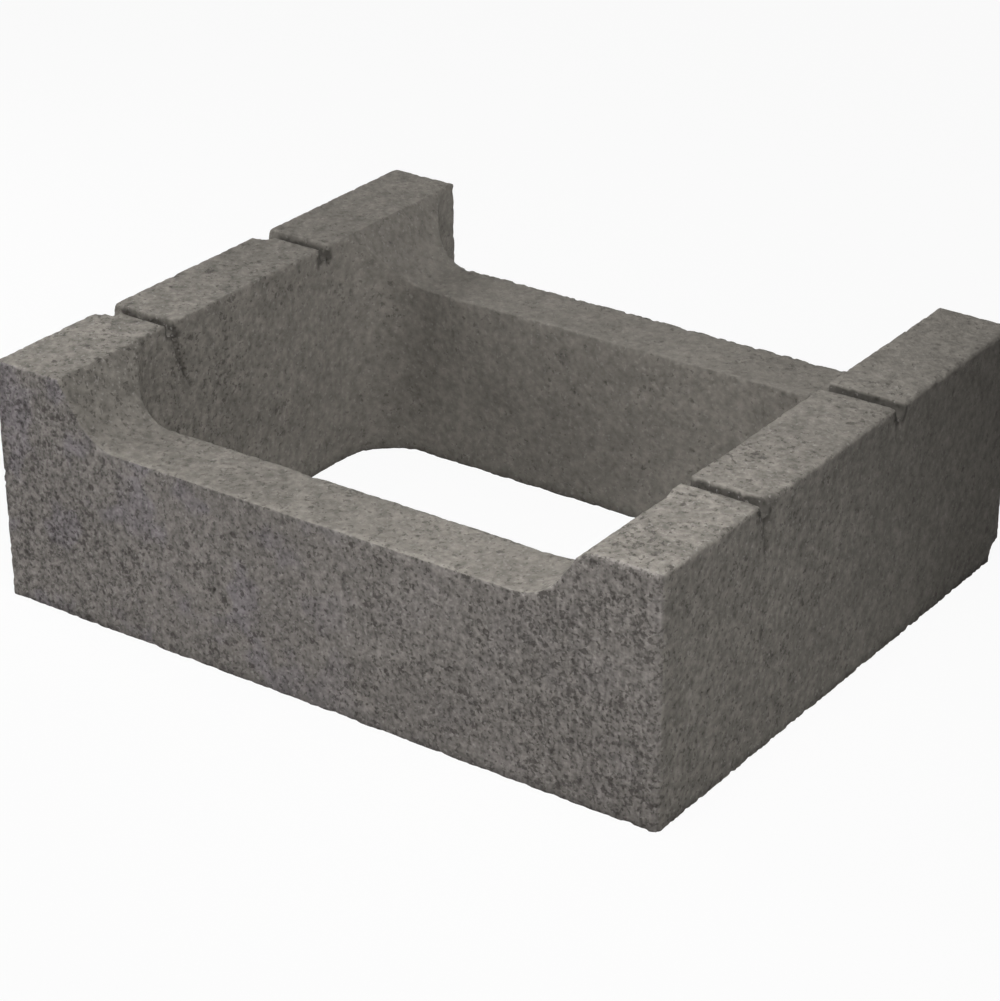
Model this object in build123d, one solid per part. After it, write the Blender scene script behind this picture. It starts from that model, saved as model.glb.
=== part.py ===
from build123d import *
from math import radians, tan
import os

# Whole block in millimetres: length along X, depth along Y, height along Z
block_length = 600.0
block_depth = 500.0
block_height = 200.0
outer_corner_radius = 6.0
top_edge_radius = 3.0

# Walls as seen from above
end_wall_thickness = 64.0
front_wall_thickness = 60.0
rear_wall_thickness = 57.0
tail_length = 56.0
hole_corner_radius = 50.0
bay_corner_radius = 50.0

# Dip in the tops of the front and rear walls
dip_depth = 48.0
dip_side_lean = 34.0
dip_fillet_radius = 48.0

# Grooves across the tops of the end walls, measured from the front face
near_groove_distance = 129.0
far_groove_distance = 320.0
groove_mouth_width = 13.0
groove_floor_width = 9.0
groove_depth = 11.0
groove_floor_radius = 3.0

# Every cut runs past the block by this much
overrun = 10.0

# Positions that follow from the sizes above
front_face = -block_depth / 2
hole_front = front_face + front_wall_thickness
rear_wall_back = block_depth / 2 - tail_length
hole_back = rear_wall_back - rear_wall_thickness
half_opening = block_length / 2 - end_wall_thickness

# Solid block with upright corners and top edges rounded
outline = RectangleRounded(block_length, block_depth, outer_corner_radius)
block = extrude(outline, amount=block_height)
top_edges = block.edges().group_by(Axis.Z)[-1]
block = fillet(top_edges, top_edge_radius)

# Hole down through the middle, ringed by the four walls
hole_width = hole_back - hole_front
hole_plan = RectangleRounded(2 * half_opening, hole_width, hole_corner_radius)
hole = extrude(hole_plan, amount=block_height + 2 * overrun)
block -= Pos(0, hole_front + hole_width / 2, -overrun) * hole

# Bay behind the rear wall, open at the back between the tails of the end walls
bay_width = tail_length + bay_corner_radius + overrun
bay_plan = RectangleRounded(2 * half_opening, bay_width, bay_corner_radius)
bay = extrude(bay_plan, amount=block_height + 2 * overrun)
block -= Pos(0, rear_wall_back + bay_width / 2, -overrun) * bay

# Dip whose leaning sides run into a level floor through large fillets
dip_floor = block_height - dip_depth
half_floor = half_opening - dip_depth * tan(radians(dip_side_lean))
dip_corners = [
    (-half_opening, block_height + overrun),
    (-half_opening, block_height),
    (-half_floor, dip_floor),
    (half_floor, dip_floor),
    (half_opening, block_height),
    (half_opening, block_height + overrun),
]
dip_profile = Plane.XZ * make_face(Polyline(*dip_corners, close=True))
floor_corners = dip_profile.vertices().group_by(Axis.Z)[0]
dip_profile = fillet(floor_corners, dip_fillet_radius)
block -= extrude(dip_profile, amount=block_depth / 2 + overrun, both=True)

# Grooves with tapering sides and a rounded floor, cut through both end walls
groove_floor = block_height - groove_depth
groove_corners = [
    (-groove_mouth_width / 2, block_height + overrun),
    (-groove_mouth_width / 2, block_height),
    (-groove_floor_width / 2, groove_floor),
    (groove_floor_width / 2, groove_floor),
    (groove_mouth_width / 2, block_height),
    (groove_mouth_width / 2, block_height + overrun),
]
groove_profile = Plane.YZ * make_face(Polyline(*groove_corners, close=True))
groove_profile = fillet(groove_profile.vertices().group_by(Axis.Z)[0], groove_floor_radius)
groove = extrude(groove_profile, amount=block_length / 2 + overrun, both=True)
for distance in (near_groove_distance, far_groove_distance):
    block -= Pos(0, front_face + distance, 0) * groove

os.makedirs("parts", exist_ok=True)
export_step(block, "parts/block.step")
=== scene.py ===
import math

import bpy
import numpy as np
from mathutils import Matrix, Vector


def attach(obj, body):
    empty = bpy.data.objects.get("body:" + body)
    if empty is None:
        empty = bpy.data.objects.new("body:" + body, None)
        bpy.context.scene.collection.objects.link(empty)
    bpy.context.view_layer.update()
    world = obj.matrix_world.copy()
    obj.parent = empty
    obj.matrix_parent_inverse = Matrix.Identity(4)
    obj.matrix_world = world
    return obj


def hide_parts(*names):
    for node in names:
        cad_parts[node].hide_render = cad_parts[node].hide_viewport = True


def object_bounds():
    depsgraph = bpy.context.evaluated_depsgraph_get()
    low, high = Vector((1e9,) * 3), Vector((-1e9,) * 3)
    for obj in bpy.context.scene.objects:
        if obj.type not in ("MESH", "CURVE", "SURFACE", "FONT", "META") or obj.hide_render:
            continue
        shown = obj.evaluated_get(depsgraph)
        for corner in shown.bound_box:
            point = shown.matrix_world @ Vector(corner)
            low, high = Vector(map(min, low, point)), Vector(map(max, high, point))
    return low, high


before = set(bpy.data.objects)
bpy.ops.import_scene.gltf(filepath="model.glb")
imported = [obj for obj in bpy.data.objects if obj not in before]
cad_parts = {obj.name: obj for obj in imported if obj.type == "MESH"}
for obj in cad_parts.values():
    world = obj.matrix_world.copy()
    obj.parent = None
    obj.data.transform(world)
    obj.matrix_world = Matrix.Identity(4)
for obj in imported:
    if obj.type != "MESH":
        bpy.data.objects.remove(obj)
cad_low, cad_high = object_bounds()

# Lengths are in metres unless a comment says otherwise
MILLIMETRE = 0.001

# Camera: the photograph's viewpoint, in degrees, metres and pixels of its 1000 x 1001 frame
PHOTO_HEIGHT = 1001
FOCAL_PIXELS = 3067.0
AZIMUTH, ELEVATION, ROLL = 35.60, 26.75, 0.24
DISTANCE = 2.345
TARGET = Vector((0.0217, -0.0438, 0.0895))
SENSOR_WIDTH_MM = 36.0
CLIP_NEAR, CLIP_FAR = 0.05, 50.0

# Wide lamps: place, diameter and power (watts); all are aimed at the middle of the block
BLOCK_MIDDLE = (0, 0, 0.08)
LAMPS = [
    ("key_left", (-1.335, -0.197, 0.734), 0.8, 11.6),
    ("low_front", (-0.48, -1.35, 0.15), 0.3, 2.2),
    ("low_right", (0.90, -0.90, 0.35), 0.4, 0.4),
    ("overhead", (0.35, -0.45, 0.95), 0.6, 6.4),
    ("overhead_rear", (0.20, 0.30, 0.80), 0.5, 0.6),
    ("behind", (0.00, 1.60, 1.00), 1.2, 0.7),
]

# Lamps behind a grid: place, what each is aimed at, diameter, spread (degrees) and power
GRID_LAMPS = [
    ("left_rear_wall", (0.90, 0.30, 0.90), (-0.26, 0.20, 0.17), 0.3, 22, 0.06),
    ("left_front_top", (-0.60, -0.60, 1.20), (-0.27, -0.20, 0.20), 0.3, 16, 0.07),
    ("right_end", (1.05, -0.60, 0.30), (0.30, -0.10, 0.10), 0.3, 25, 0.045),
    ("front_middle", (-0.30, -1.60, 0.40), (-0.06, -0.25, 0.10), 0.3, 14, 0.02),
    ("right_front_top", (0.50, -0.70, 1.00), (0.20, -0.20, 0.20), 0.3, 25, 0.09),
]

# White floor and surroundings: the floor is matt grey to the lamps and nearly white to the camera
FLOOR_HALF_SIZE = 30.0
FLOOR_GREY = (0.7, 0.7, 0.7, 1)
FLOOR_WHITE_SHARE = 0.94
WHITE = (1, 1, 1, 1)
AMBIENT_COLOUR, AMBIENT_STRENGTH = (1.0, 0.99, 0.98, 1), 0.08

# Mesh of the cast block: even cells, thinned at the end
BLOCK_LENGTH = 0.6
OCTREE_DEPTH = 9
CELL = 0.00165
MAX_TRIANGLES = 198000
BOX_MARGIN = 0.00003

# Worn arrises: a full arris stands this far (millimetres) above the surface once smoothed
ARRIS_ROUNDS, ARRIS_HEIGHT = 30, 1.4
WEAR_ROUNDS = 5
WEAR_CELL, WEAR_SEED, WEAR_MEAN, WEAR_LEAST = 0.020, 10, 0.30, 0.05

# Relief noises: cell, seed and height (millimetres)
WAVES = (0.070, 1, 0.12)
LUMPS = (0.014, 2, 0.15)
GRAIN = (0.0050, 3, 0.22)
DRAG = (0.0045, 4, 0.04)
DRAG_SQUEEZE = (1, 1, 0.10)
LEAST_WEAR_DEPTH = 0.12

# Pits: cell, share of cells with one, least and greatest radius, seed and depth (millimetres)
SMALL_PITS = (0.0075, 0.60, 0.0013, 0.0027, 6, 1.3)
LARGE_PITS = (0.016, 0.35, 0.0022, 0.0040, 7, 1.9)
CROWD_CELL, CROWD_SEED, CROWD_MEAN, CROWD_SWING = 0.035, 5, 0.5, 1.2
UNDERSIDE_FEWER_PITS = 0.8

# Broken arrises: cell, seed, what is added to the noise, and millimetres lost for each 1 above 0
NIBBLE = (0.006, 8, 0.05, 1.0)
CHIPS = (0.022, 9, -0.45, 3.2)

# More ragged than the rest: the rear wall's back top edge and the bottom edge at the right end
REAR_EDGE_Y, REAR_EDGE_HALF_WIDTH, REAR_EDGE_LOWEST, REAR_EDGE_RAGGED = 0.194, 0.006, 0.14, 1.6
BOTTOM_EDGE_TOP, BOTTOM_EDGE_X, BOTTOM_EDGE_RAGGED = 0.006, 0.27, 0.9

# Scars and two crisper corners: start, end, radius and depth (both millimetres), painted tone from
# -1, painted light, to 1, painted shade, and the way the surface is pushed, which is straight in
# where none is given
DOWN = (0, 0, -1)
FRONT_LEFT_PUSH, REAR_RIGHT_PUSH = (-0.7, -0.7, 0.0), (0.7, 0.7, 0.0)
BROKEN_CORNER_PUSH = (-0.7, -0.7, 0.1)
GROOVE_LIP_PUSH = (-0.5, 0.0, -0.8)
DIP_EDGE_PUSH = (0.47, 0.0, -0.88)
SCARS = [
    # Crack below the near groove on the left inner wall, and a short one below the far groove,
    # with painted shade along them
    ((-0.236, -0.1190, 0.1900), (-0.236, -0.1160, 0.1800), 2.0, 2.6, 0.95, None),
    ((-0.236, -0.1160, 0.1800), (-0.236, -0.1133, 0.1690), 2.4, 3.0, 1.0, None),
    ((-0.236, -0.1133, 0.1690), (-0.236, -0.1075, 0.1533), 2.2, 2.2, 0.8, None),
    ((-0.236, -0.1075, 0.1533), (-0.236, -0.1009, 0.1408), 2.0, 1.0, 0.45, None),
    ((-0.236, 0.0740, 0.1930), (-0.236, 0.0755, 0.1850), 2.4, 2.4, 0.9, None),
    # Shallow runs below the grooves on the right outer face: painted shade below the near groove,
    # painted light below the far one
    ((0.300, -0.1195, 0.1900), (0.300, -0.1185, 0.1760), 4.2, 2.0, 0.6, None),
    ((0.300, -0.1185, 0.1760), (0.300, -0.1170, 0.1620), 3.0, 0.8, 0.4, None),
    ((0.300, 0.0690, 0.1880), (0.300, 0.0700, 0.1740), 4.5, 1.2, -0.4, None),
    # Broken lower corner at the rear right
    ((0.300, 0.2500, 0.0000), (0.300, 0.2500, 0.0030), 14.0, 6.5, 0.0, BROKEN_CORNER_PUSH),
    # Crisper upright corners at the front left and the rear right
    ((-0.300, -0.2500, 0.0020), (-0.300, -0.2500, 0.1970), 8.0, 1.8, 0.0, FRONT_LEFT_PUSH),
    ((0.300, 0.2500, 0.0150), (0.300, 0.2500, 0.1970), 8.0, 1.8, 0.0, REAR_RIGHT_PUSH),
    # Lips of the grooves, on the left outer face and on the right, the right one with painted
    # shadow
    ((-0.302, -0.1260, 0.2030), (-0.294, -0.1260, 0.2030), 14.0, 5.0, 0.0, DOWN),
    ((-0.302, 0.0650, 0.2030), (-0.294, 0.0650, 0.2030), 12.0, 4.5, 0.0, DOWN),
    ((0.300, -0.1120, 0.2000), (0.300, -0.1100, 0.2000), 6.0, 2.0, 0.8, GROOVE_LIP_PUSH),
    # Softened edge at the right end of the front dip
    ((0.236, -0.2500, 0.2000), (0.236, -0.1500, 0.2000), 10.0, 2.2, 0.0, DIP_EDGE_PUSH),
]
# How far past its radius a scar's painted light or shade reaches
SCAR_SHADING_REACH = 1.25

# Grooves across the end walls' tops: their arrises stay crisp and their sides get painted shade
GROOVES_Y = (-0.121, 0.070)
LIP_HALF_WIDTH, LIP_LOWEST, LIP_OUTERMOST = 0.012, 0.18, 0.295
LIP_WEAR, LIP_ARRIS_SHARE = 0.05, 0.35
GROOVE_PAINTED_SHADE, GROOVE_HALF_WIDTH, GROOVE_SHADE_LOWEST = 0.78, 0.0085, 0.1865
GROOVE_SHADE_TOP_LEFT, GROOVE_SHADE_TOP_RIGHT, GROOVE_SHADE_FADE = 0.1970, 0.1992, 0.0015
RIGHT_TOP_INNER_X, LEFT_TOP_INNER_X, LEFT_SHADE_OUTER_X = 0.233, -0.236, -0.291

# Places with more open pores: middle, radius and how much more
PITTED = [
    ((0.267, -0.212, 0.200), 0.030, 0.055),
    ((0.283, -0.250, 0.145), 0.026, 0.070),
    ((-0.272, -0.162, 0.200), 0.030, 0.035),
    ((0.245, -0.058, 0.200), 0.020, 0.050),
    ((-0.290, -0.250, 0.150), 0.050, 0.030),
    ((0.270, -0.250, 0.060), 0.050, 0.030),
]

# Colours of the concrete, and the share of the cool patches that the front's right half gets
GREY = (0.208, 0.194, 0.172, 1)
FRONT_GREY = (0.202, 0.187, 0.173, 1)
FRONT_COOL = (0.202, 0.186, 0.188, 1)
SPECK_COLOUR = (0.36, 0.34, 0.32, 1)
PIT_COLOUR = (0.045, 0.040, 0.036, 1)
LEAST_COOL = 0.15

# Surface noises: the size of their features, and a turn in radians that keeps the lines of
# their lattice off the faces
PATCH_SIZE, COOL_SIZE, STREAK_PATCH_SIZE, CROWD_SIZE = 0.11, 0.050, 0.060, 0.035
CLOT_SIZE, PORE_SIZE, GRAIN_SIZE, STREAK_SIZE = 0.0135, 0.0058, 0.0056, 0.0050
PIT_SIZE, SPECK_SIZE, COMB_SIZE, FINE_SIZE = 0.0037, 0.0034, 0.0028, 0.0026
STREAK_SQUEEZE, COMB_SQUEEZE = (1, 1, 0.13), (1, 1, 0.22)
NOISE_TURN = (0.62, 0.41, 0.93)

# Pits from a noise, pores in some of the cells and pale specks: how many there are and where,
# how their edges fade, and how strongly they show
PITS_BY_CROWD, FRONT_PITS, FRONT_END_PITS, REAR_FEWER_PITS = 0.20, 0.020, 0.025, 0.040
PORE_SHARE, PORES_BY_CROWD, FRONT_PORES, REAR_FEWER_PORES = 0.06, 0.7, 0.05, 0.05
PIT_FADE, PORE_FADE, SPECK_FADE = (0.585, 0.675), (0.42, 0.22), (0.62, 0.71)
PORE_LEAST_SQUEEZE, PORE_RAGGED = 0.55, 1.1
PIT_DEPTH, PORE_DEPTH = 0.8, 0.9
PIT_COVER, SPECK_COVER = 0.66, 0.45

# Mottling: how strongly each noise changes the brightness, and where it does so more or less
CONTRAST, LEFT_FRONT_CONTRAST, REAR_CALM, DIP_CALM = 1.15, (0.10, 0.45), 0.30, 0.22
GRAIN_CONTRAST, CLOT_CONTRAST, LEVEL_CLOTS, FRONT_FEWER_CLOTS = 1.10, 0.70, 0.12, 0.22
FRONT_FINE_CONTRAST, COMB_CONTRAST, STREAK_CONTRAST = 0.65, (0.15, 0.6), (0.05, 0.35)

# Brightness of the patches and of single places: from and to, or a change from 1. Painted shade in
# hollows, on the left slope, at the far end, in grooves and in dark scars; painted light on the
# front rim, the tops right of the middle and a pale scar; the foot darker towards the bottom
PATCH_BRIGHTNESS, HOLLOW_PAINTED_SHADE, FOOT_DARKNESS = (0.94, 1.06), 0.55, 0.70
LEFT_SLOPE_PAINTED_SHADE, FRONT_RIM_PAINTED_HIGHLIGHT, LIT_TOP, FAR_END_PAINTED_SHADE = 0.14, 0.20, 1.045, 0.10
PAINTED_SHADING_DARKER = 0.75

# Bump: height of each noise, depth, and strength
GRAIN_BUMP, PIT_BUMP, CLOT_BUMP, BUMP_DEPTH = 1.2, 0.6, 0.8, 0.0016
BUMP_STRENGTH, WALLS_LESS_BUMP = 0.8, 0.35


def make_camera():
    azimuth, elevation, roll = (math.radians(a) for a in (AZIMUTH, ELEVATION, ROLL))
    back = Vector((math.sin(azimuth) * math.cos(elevation),
                   -math.cos(azimuth) * math.cos(elevation),
                   math.sin(elevation)))
    right = Vector((0, 0, 1)).cross(back).normalized()
    up = back.cross(right)
    turned_right = right * math.cos(roll) - up * math.sin(roll)
    turned_up = up * math.cos(roll) + right * math.sin(roll)
    data = bpy.data.cameras.new("camera")
    data.sensor_width = SENSOR_WIDTH_MM
    data.lens = FOCAL_PIXELS * SENSOR_WIDTH_MM / PHOTO_HEIGHT
    data.clip_start, data.clip_end = CLIP_NEAR, CLIP_FAR
    camera = bpy.data.objects.new("camera", data)
    axes = Matrix((turned_right, turned_up, back)).transposed().to_4x4()
    camera.matrix_world = Matrix.Translation(TARGET + back * DISTANCE) @ axes
    bpy.context.scene.collection.objects.link(camera)
    bpy.context.scene.camera = camera


def hashed(ix, iy, iz, seed):
    """Repeatable random numbers from 0 to 1 for whole-number lattice places."""
    n = (ix * 73856093) ^ (iy * 19349663) ^ (iz * 83492791) ^ (seed * 2654435761)
    n = (n ^ (n >> 13)) * 1274126177
    n = (n ^ (n >> 16)) * 2246822519
    n = n ^ (n >> 15)
    return (n & 0xFFFFFF) / float(0xFFFFFF)


def gradient_noise(points, cell, seed):
    """Smooth noise from about -1 to 1, with features one cell across."""
    scaled = points / cell
    base = np.floor(scaled).astype(np.int64)
    part = scaled - base
    ease = part * part * part * (part * (part * 6 - 15) + 10)
    total = np.zeros(len(points))
    for dx in (0, 1):
        for dy in (0, 1):
            for dz in (0, 1):
                ix, iy, iz = base[:, 0] + dx, base[:, 1] + dy, base[:, 2] + dz
                weight = np.where(dx, ease[:, 0], 1 - ease[:, 0])
                weight = weight * np.where(dy, ease[:, 1], 1 - ease[:, 1])
                weight = weight * np.where(dz, ease[:, 2], 1 - ease[:, 2])
                dot = (hashed(ix, iy, iz, seed) - 0.5) * (part[:, 0] - dx)
                dot += (hashed(ix, iy, iz, seed + 101) - 0.5) * (part[:, 1] - dy)
                dot += (hashed(ix, iy, iz, seed + 202) - 0.5) * (part[:, 2] - dz)
                total += weight * dot
    return total * 2.6


def pits(points, cell, share, low_radius, high_radius, seed):
    """Depth from 0 to 1 inside round pits scattered one to a cell."""
    base = np.floor(points / cell).astype(np.int64)
    depth = np.zeros(len(points))
    for dx in (-1, 0, 1):
        for dy in (-1, 0, 1):
            for dz in (-1, 0, 1):
                ix, iy, iz = base[:, 0] + dx, base[:, 1] + dy, base[:, 2] + dz
                centre = np.stack([
                    (ix + hashed(ix, iy, iz, seed)) * cell,
                    (iy + hashed(ix, iy, iz, seed + 11)) * cell,
                    (iz + hashed(ix, iy, iz, seed + 22)) * cell], 1)
                pick = hashed(ix, iy, iz, seed + 33)
                radius = low_radius + (high_radius - low_radius) * pick / share
                away = np.linalg.norm(points - centre, axis=1) / radius
                here = np.where((pick < share) & (away < 1), 1 - away * away, 0)
                depth = np.maximum(depth, here)
    return depth


def mesh_arrays(mesh):
    """Places of the vertices, and the two ends of each edge."""
    co = np.empty(len(mesh.vertices) * 3)
    mesh.vertices.foreach_get("co", co)
    ends = np.empty(len(mesh.edges) * 2, np.int64)
    mesh.edges.foreach_get("vertices", ends)
    return co.reshape(-1, 3), ends.reshape(-1, 2)


def vertex_normals(mesh):
    normals = np.empty(len(mesh.vertices) * 3)
    mesh.vertices.foreach_get("normal", normals)
    return normals.reshape(-1, 3)


def relaxed(co, ends, rounds):
    """Every vertex drawn towards the mean of its neighbours, over and over."""
    count = np.bincount(ends.ravel(), minlength=len(co)).astype(float)
    for _ in range(rounds):
        total = np.stack([
            np.bincount(ends[:, 0], co[ends[:, 1], k], len(co))
            + np.bincount(ends[:, 1], co[ends[:, 0], k], len(co))
            for k in range(3)], 1)
        co = 0.5 * co + 0.5 * total / count[:, None]
    return co


def made_real(obj):
    """The object's mesh with its modifiers worked in."""
    graph = bpy.context.evaluated_depsgraph_get()
    mesh = bpy.data.meshes.new_from_object(obj.evaluated_get(graph))
    obj.modifiers.clear()
    obj.data = mesh
    return mesh


def put_inside(mesh, co):
    """Writes the vertices back, none of them outside the CAD box."""
    low = np.array(cad_low) + BOX_MARGIN
    high = np.array(cad_high) - BOX_MARGIN
    low[2] = cad_low[2]
    mesh.vertices.foreach_set("co", np.clip(co, low, high).ravel())
    mesh.update()


def scar_depth(co, start, end, radius):
    """1 along the line from start to end, falling to 0 at the radius."""
    start, end = np.array(start), np.array(end)
    along = end - start
    t = np.clip((co - start) @ along / (along @ along), 0, 1)
    away = np.linalg.norm(co - start - t[:, None] * along, axis=1) / radius
    return np.clip(1 - away * away, 0, 1)


def painted_shading_at(co):
    """Painted shade of the scars and grooves at each place, and painted light where a scar is
    pale.
    """
    x, y, z = co.T
    painted_shading = np.zeros(len(co))
    for start, end, radius, _, tone, _ in SCARS:
        if tone:
            reach = SCAR_SHADING_REACH * radius * MILLIMETRE
            here = np.sqrt(scar_depth(co, start, end, reach)) * tone
            painted_shading = np.where(np.abs(here) > np.abs(painted_shading), here, painted_shading)
    # Painted shade down the sides of the grooves in the end walls' tops
    for middle in GROOVES_Y:
        across = np.abs(y - middle) < GROOVE_HALF_WIDTH
        top = np.where(x < 0, GROOVE_SHADE_TOP_LEFT, GROOVE_SHADE_TOP_RIGHT)
        below = np.clip((top - z) / GROOVE_SHADE_FADE, 0, 1) * (z > GROOVE_SHADE_LOWEST)
        inside = (x > RIGHT_TOP_INNER_X) | ((x < LEFT_TOP_INNER_X) & (x > LEFT_SHADE_OUTER_X))
        painted_shading = np.maximum(painted_shading, GROOVE_PAINTED_SHADE * across * below * inside)
    return painted_shading


def relief_depth(co, normals, arris):
    """How far the cast surface lies below the CAD surface, in millimetres."""
    upright = 1 - np.abs(normals[:, 2])
    under = np.clip(-normals[:, 2], 0, 1)
    waves, lumps, grain = (
        gradient_noise(co, cell, seed) * height for cell, seed, height in (WAVES, LUMPS, GRAIN))
    drag_cell, drag_seed, drag_height = DRAG
    drag = gradient_noise(co * DRAG_SQUEEZE, drag_cell, drag_seed) * drag_height * upright

    crowd = CROWD_MEAN + CROWD_SWING * gradient_noise(co, CROWD_CELL, CROWD_SEED)
    crowd = np.clip(crowd, 0, 1) * (1 - UNDERSIDE_FEWER_PITS * under)
    small, large = (pits(co, *kind[:5]) * kind[5] for kind in (SMALL_PITS, LARGE_PITS))

    rear_edge = np.abs(co[:, 1] - REAR_EDGE_Y) < REAR_EDGE_HALF_WIDTH
    ragged = 1 + REAR_EDGE_RAGGED * rear_edge * (co[:, 2] > REAR_EDGE_LOWEST)
    bottom_edge = co[:, 2] < BOTTOM_EDGE_TOP
    ragged = ragged + BOTTOM_EDGE_RAGGED * bottom_edge * (co[:, 0] > BOTTOM_EDGE_X)
    nibble, chips = (
        np.clip(gradient_noise(co, cell, seed) + lift, 0, 1) * depth
        for cell, seed, lift, depth in (NIBBLE, CHIPS))
    broken = arris * (nibble * ragged + chips)

    return LEAST_WEAR_DEPTH - waves - lumps - grain - drag + crowd * (small + large) + broken


def make_block():
    """The CAD block as a worn casting: even mesh, relief and scars, thinned to the limit."""
    obj = bpy.data.objects.new("cast_block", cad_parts["block"].data.copy())
    bpy.context.scene.collection.objects.link(obj)
    obj.data.materials.clear()
    remesh = obj.modifiers.new("even", "REMESH")
    remesh.mode = "SHARP"
    remesh.octree_depth = OCTREE_DEPTH
    remesh.scale = BLOCK_LENGTH / (CELL * 2 ** OCTREE_DEPTH)
    mesh = made_real(obj)
    co, ends = mesh_arrays(mesh)
    normals = vertex_normals(mesh)

    stands_out = np.sum((co - relaxed(co, ends, ARRIS_ROUNDS)) * normals, axis=1)
    arris = np.clip(stands_out / (ARRIS_HEIGHT * MILLIMETRE), 0, 1)
    wear = np.clip(WEAR_MEAN + gradient_noise(co, WEAR_CELL, WEAR_SEED), WEAR_LEAST, 1)
    for middle in GROOVES_Y:
        lips = np.abs(co[:, 1] - middle) < LIP_HALF_WIDTH
        lips = lips & (co[:, 2] > LIP_LOWEST) & (np.abs(co[:, 0]) < LIP_OUTERMOST)
        wear = np.where(lips, LIP_WEAR, wear)
        arris = np.where(lips, LIP_ARRIS_SHARE * arris, arris)
    soft = co + (relaxed(co, ends, WEAR_ROUNDS) - co) * wear[:, None]

    inward = np.clip(relief_depth(co, normals, arris), 0, None)
    co = soft - normals * inward[:, None] * MILLIMETRE
    for start, end, radius, depth, _, push in SCARS:
        share = scar_depth(soft, start, end, radius * MILLIMETRE)[:, None]
        co += share * depth * MILLIMETRE * (np.array(push) if push else -normals)
    put_inside(mesh, co)

    triangles = sum(len(p.vertices) - 2 for p in mesh.polygons)
    thin = obj.modifiers.new("thin", "DECIMATE")
    thin.ratio = min(1.0, MAX_TRIANGLES / triangles)
    mesh = made_real(obj)
    co, _ = mesh_arrays(mesh)
    put_inside(mesh, co)
    # Painted shade and light of the grooves and scars, kept on the vertices
    painted_shading = mesh.attributes.new("painted_shading", "FLOAT", "POINT")
    painted_shading.data.foreach_set("value", painted_shading_at(co).astype(np.float32))
    mesh.polygons.foreach_set("use_smooth", np.ones(len(mesh.polygons), bool))
    return obj


class Field:
    """A shader value that varies over the surface, so that its sums are written as sums."""

    def __init__(self, nodes, socket):
        self.nodes, self.socket = nodes, socket

    def __add__(self, other):
        return self.nodes.maths("ADD", self, other)

    def __sub__(self, other):
        return self.nodes.maths("SUBTRACT", self, other)

    def __rsub__(self, other):
        return self.nodes.maths("SUBTRACT", other, self)

    def __mul__(self, other):
        return self.nodes.maths("MULTIPLY", self, other)

    __radd__ = __add__

    def ranged(self, low, high, to_low=0.0, to_high=1.0):
        """Eases from to_low to to_high while this value goes from low to high."""
        node = self.nodes.add("ShaderNodeMapRange", interpolation_type="SMOOTHSTEP")
        for k, value in enumerate((low, high, to_low, to_high)):
            node.inputs[k + 1].default_value = value
        self.nodes.join(self, node.inputs[0])
        return Field(self.nodes, node.outputs[0])


class Nodes:
    """A new material, and the shader nodes that it is made of."""

    def __init__(self, name):
        self.material = bpy.data.materials.new(name)
        self.material.use_nodes = True
        self.tree = self.material.node_tree
        self.tree.nodes.clear()
        self.out = self.add("ShaderNodeOutputMaterial")

    def add(self, kind, **settings):
        node = self.tree.nodes.new(kind)
        for key, value in settings.items():
            setattr(node, key, value)
        return node

    def join(self, value, into):
        """Feeds a socket with a field or another socket, or sets it to a plain value."""
        if isinstance(value, Field):
            value = value.socket
        if isinstance(value, bpy.types.NodeSocket):
            self.tree.links.new(value, into)
        else:
            into.default_value = value

    def parts(self, vector):
        """The X, Y and Z of a vector."""
        node = self.add("ShaderNodeSeparateXYZ")
        self.join(vector, node.inputs[0])
        return [Field(self, out) for out in node.outputs]

    def maths(self, kind, a, b=0.0):
        node = self.add("ShaderNodeMath", operation=kind)
        self.join(a, node.inputs[0])
        self.join(b, node.inputs[1])
        return Field(self, node.outputs[0])

    def stretched(self, place, factors):
        node = self.add("ShaderNodeVectorMath", operation="MULTIPLY")
        self.join(place, node.inputs[0])
        self.join(factors, node.inputs[1])
        return node.outputs[0]

    def away_from(self, place, middle):
        """Distance of a place from a point."""
        node = self.add("ShaderNodeVectorMath", operation="DISTANCE")
        self.join(place, node.inputs[0])
        self.join(middle, node.inputs[1])
        return Field(self, node.outputs["Value"])

    def noise(self, place, size, detail=2.0, roughness=0.5):
        node = self.add("ShaderNodeTexNoise")
        node.inputs["Scale"].default_value = 1 / size
        node.inputs["Detail"].default_value = detail
        node.inputs["Roughness"].default_value = roughness
        self.join(place, node.inputs["Vector"])
        return Field(self, node.outputs["Fac"])

    def pores(self, place, size, share, uneven):
        """Ragged spots of all sizes, in that share of the cells."""
        node = self.add("ShaderNodeTexVoronoi", feature="F1")
        node.inputs["Scale"].default_value = 1 / size
        self.join(place, node.inputs["Vector"])
        random = self.add("ShaderNodeSeparateColor")
        self.join(node.outputs["Color"], random.inputs[0])
        chosen = self.maths("LESS_THAN", random.outputs[0], share)
        squeeze = self.maths("ADD", PORE_LEAST_SQUEEZE, random.outputs[1])
        away = self.maths("MULTIPLY", node.outputs["Distance"], squeeze)
        away = away + (uneven - 0.5) * PORE_RAGGED
        return away.ranged(*PORE_FADE) * chosen

    def tint(self, share, a, b):
        """Colour a where the share is 0, and colour b where it is 1."""
        node = self.add("ShaderNodeMix", data_type="RGBA")
        for value, socket in ((share, 0), (a, 6), (b, 7)):
            self.join(value, node.inputs[socket])
        return node.outputs[2]

    def scaled(self, colour, factor):
        node = self.add("ShaderNodeVectorMath", operation="SCALE")
        self.join(colour, node.inputs[0])
        self.join(factor, node.inputs["Scale"])
        return node.outputs[0]


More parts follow.
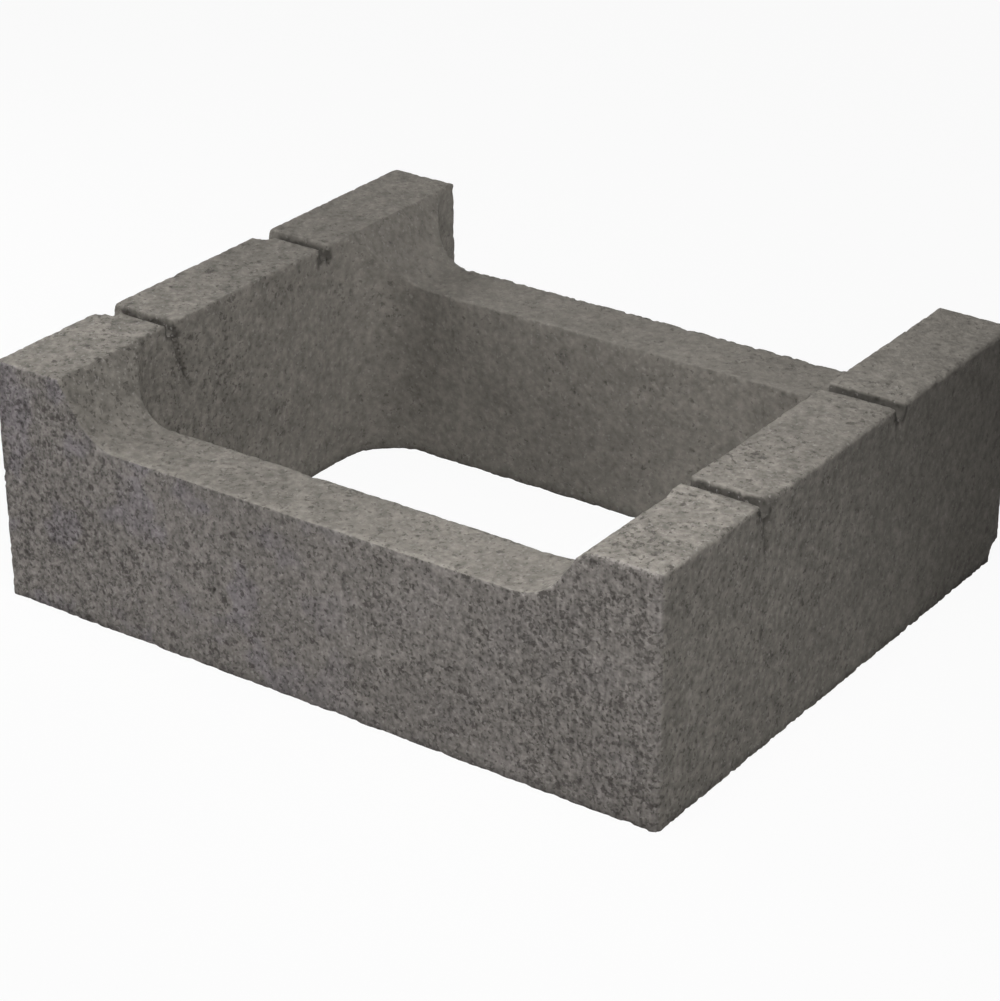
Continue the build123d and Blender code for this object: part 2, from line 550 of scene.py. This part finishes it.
def concrete_material():
    n = Nodes("concrete")
    place = n.add("ShaderNodeTexCoord").outputs["Object"]
    x, y, z = n.parts(place)
    turn = n.add("ShaderNodeMapping", vector_type="POINT")
    turn.inputs["Rotation"].default_value = NOISE_TURN
    n.join(place, turn.inputs["Vector"])
    turned = turn.outputs[0]
    geometry = n.add("ShaderNodeNewGeometry")
    _, facing_y, facing_z = n.parts(geometry.outputs["True Normal"])

    # Parts of the block, each 1 there and 0 elsewhere
    front = y.ranged(-0.236, -0.246) * facing_y.ranged(-0.3, -0.7)
    level = facing_z.ranged(0.3, 0.8)
    upright = 1.0 - level
    rear = y.ranged(-0.14, 0.14)
    front_ends = n.maths("ABSOLUTE", x).ranged(0.10, 0.22)
    dipped_top = level * z.ranged(0.192, 0.165)
    # Painted highlight along the front top arrises
    front_rim_highlight = y.ranged(-0.2430, -0.2490) * level
    # Painted shade on the left slope of the front dip, which faces away from the key lamp
    left_slope_shade = facing_z.ranged(0.30, 0.45) * facing_z.ranged(0.92, 0.72) * x.ranged(0.05, -0.05)

    crowd = n.noise(turned, CROWD_SIZE)
    grain = n.noise(turned, GRAIN_SIZE, 2.0, 0.55)
    fine = n.noise(turned, FINE_SIZE, 1.0)
    clots = n.noise(turned, CLOT_SIZE)

    # Open pores: fine ones from a noise, and sparse larger ones
    lift = (crowd - 0.5) * PITS_BY_CROWD
    for middle, radius, more in PITTED:
        lift = lift + n.away_from(place, middle).ranged(radius, 0.3 * radius, 0.0, more)
    extra = front * (FRONT_PITS + front_ends * FRONT_END_PITS) - rear * REAR_FEWER_PITS
    pitted = n.noise(turned, PIT_SIZE, 2.0, 0.60) + lift + extra
    share = (crowd - 0.5) * PORES_BY_CROWD + PORE_SHARE
    share = share + front * FRONT_PORES - rear * REAR_FEWER_PORES
    pore = n.pores(place, PORE_SIZE, share, fine) * PORE_DEPTH
    pit = n.maths("MAXIMUM", pitted.ranged(*PIT_FADE) * PIT_DEPTH, pore)
    speck = n.noise(turned, SPECK_SIZE, 1.5).ranged(*SPECK_FADE)

    # Mottling: grain and clots all over, upright streaks, and a finer comb on the front face
    calm = (1.0 - rear * REAR_CALM) * (1.0 - dipped_top * DIP_CALM)
    contrast = (CONTRAST + front * x.ranged(-0.10, -0.26, *LEFT_FRONT_CONTRAST)) * calm
    coarse = CLOT_CONTRAST + (level * LEVEL_CLOTS - front * FRONT_FEWER_CLOTS)
    streak = n.noise(n.stretched(place, STREAK_SQUEEZE), STREAK_SIZE) - 0.5
    streak_where = n.noise(turned, STREAK_PATCH_SIZE).ranged(0.45, 0.62, *STREAK_CONTRAST)
    comb = n.noise(n.stretched(place, COMB_SQUEEZE), COMB_SIZE, 1.0) - 0.5
    comb_where = front * x.ranged(0.10, 0.22, *COMB_CONTRAST)
    mottle = (grain - 0.5) * GRAIN_CONTRAST + (clots - 0.5) * coarse + comb * comb_where
    mottle = mottle + (fine - 0.5) * (front * FRONT_FINE_CONTRAST)
    mottle = (mottle + streak * upright * streak_where) * contrast

    # Brightness: patches, then painted shade in hollows, the foot darker towards the bottom, and
    # places with painted light or shade
    patches = n.noise(turned, PATCH_SIZE, 3.0).ranged(0.3, 0.7, *PATCH_BRIGHTNESS)
    # Painted shade in hollows and creases, from the mesh's pointiness
    hollow_painted_shade = Field(n, geometry.outputs["Pointiness"]).ranged(0.42, 0.50, HOLLOW_PAINTED_SHADE, 1.0)
    # Darker towards the bottom, over the lowest 11 mm
    darker_foot = z.ranged(0.000, 0.011, FOOT_DARKNESS, 1.0)
    # Painted light on the tops right of the middle
    lit_top = level * x.ranged(-0.20, -0.05, 1.0, LIT_TOP)
    # Painted shade on the right end face, deepening towards the rear
    far_end_shade = x.ranged(0.290, 0.297) * y.ranged(0.02, 0.24, 0.0, FAR_END_PAINTED_SHADE)
    # Painted shade in the grooves and dark scars, painted light on the pale one
    painted_shading = Field(n, n.add("ShaderNodeAttribute", attribute_name="painted_shading").outputs["Fac"])
    brightness = (1.0 + mottle) * patches
    brightness = brightness * (1.0 - left_slope_shade * LEFT_SLOPE_PAINTED_SHADE)
    brightness = brightness * (hollow_painted_shade * darker_foot * (1.0 + front_rim_highlight * FRONT_RIM_PAINTED_HIGHLIGHT))
    brightness = brightness * (lit_top + upright)
    brightness = brightness * (1.0 - far_end_shade)
    brightness = brightness * (1.0 - painted_shading * PAINTED_SHADING_DARKER)

    cool = n.noise(turned, COOL_SIZE, 2.0, 0.60).ranged(0.50, 0.60)
    cool = cool * x.ranged(0.08, -0.08, LEAST_COOL, 1.0)
    colour = n.tint(front, GREY, n.tint(cool, FRONT_GREY, FRONT_COOL))
    colour = n.scaled(colour, brightness)
    colour = n.tint(speck * (calm * SPECK_COVER), colour, SPECK_COLOUR)
    colour = n.tint(pit * (calm * PIT_COVER), colour, PIT_COLOUR)

    bump = n.add("ShaderNodeBump")
    bump.inputs["Distance"].default_value = BUMP_DEPTH
    walls = upright * (1.0 - front)
    n.join(BUMP_STRENGTH - walls * WALLS_LESS_BUMP, bump.inputs["Strength"])
    n.join(grain * GRAIN_BUMP - pit * PIT_BUMP + clots * CLOT_BUMP, bump.inputs["Height"])

    shader = n.add("ShaderNodeBsdfPrincipled")
    shader.inputs["Roughness"].default_value = 0.95
    shader.inputs["Specular IOR Level"].default_value = 0.2
    n.join(colour, shader.inputs["Base Color"])
    n.join(bump.outputs["Normal"], shader.inputs["Normal"])
    n.join(shader.outputs["BSDF"], n.out.inputs["Surface"])
    return n.material


def floor_material():
    n = Nodes("white_floor")
    matt = n.add("ShaderNodeBsdfDiffuse")
    matt.inputs["Color"].default_value = FLOOR_GREY
    glow = n.add("ShaderNodeEmission")
    glow.inputs["Color"].default_value = WHITE
    glow.inputs["Strength"].default_value = 1.0
    rays = n.add("ShaderNodeLightPath")
    blend = n.add("ShaderNodeMixShader")
    white_share = n.maths("MULTIPLY", rays.outputs["Is Camera Ray"], FLOOR_WHITE_SHARE)
    n.join(white_share, blend.inputs[0])
    n.join(matt.outputs[0], blend.inputs[1])
    n.join(glow.outputs[0], blend.inputs[2])
    n.join(blend.outputs[0], n.out.inputs["Surface"])
    return n.material


def make_floor():
    size = FLOOR_HALF_SIZE
    corners = [(-size, -size, 0), (size, -size, 0), (size, size, 0), (-size, size, 0)]
    mesh = bpy.data.meshes.new("floor")
    mesh.from_pydata(corners, [], [(0, 1, 2, 3)])
    floor = bpy.data.objects.new("floor", mesh)
    floor.data.materials.append(floor_material())
    bpy.context.scene.collection.objects.link(floor)


def make_world():
    """White to the camera, and a faint even light to everything else."""
    world = bpy.data.worlds.new("world")
    bpy.context.scene.world = world
    world.use_nodes = True
    tree = world.node_tree
    tree.nodes.clear()
    out = tree.nodes.new("ShaderNodeOutputWorld")
    rays = tree.nodes.new("ShaderNodeLightPath")
    blend = tree.nodes.new("ShaderNodeMixShader")
    tree.links.new(rays.outputs["Is Camera Ray"], blend.inputs[0])
    looks = ((AMBIENT_COLOUR, AMBIENT_STRENGTH), (WHITE, 1.0))
    for socket, (colour, strength) in enumerate(looks, start=1):
        look = tree.nodes.new("ShaderNodeBackground")
        look.inputs["Color"].default_value = colour
        look.inputs["Strength"].default_value = strength
        tree.links.new(look.outputs[0], blend.inputs[socket])
    tree.links.new(blend.outputs[0], out.inputs["Surface"])


def make_lamp(name, place, size, watts, aim=BLOCK_MIDDLE, spread=180):
    data = bpy.data.lights.new(name, "AREA")
    data.shape = "DISK"
    data.size = size
    data.energy = watts
    data.spread = math.radians(spread)
    lamp = bpy.data.objects.new(name, data)
    lamp.location = place
    lamp.rotation_mode = "QUATERNION"
    lamp.rotation_quaternion = (Vector(place) - Vector(aim)).to_track_quat("Z", "Y")
    bpy.context.scene.collection.objects.link(lamp)


make_camera()
block = make_block()
block.data.materials.append(concrete_material())
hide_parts("block")
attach(block, "root")
make_floor()
make_world()
for name, place, size, watts in LAMPS:
    make_lamp(name, place, size, watts)
for name, place, aim, size, spread, watts in GRID_LAMPS:
    make_lamp(name, place, size, watts, aim, spread)

bpy.context.scene.view_settings.view_transform = "Standard"
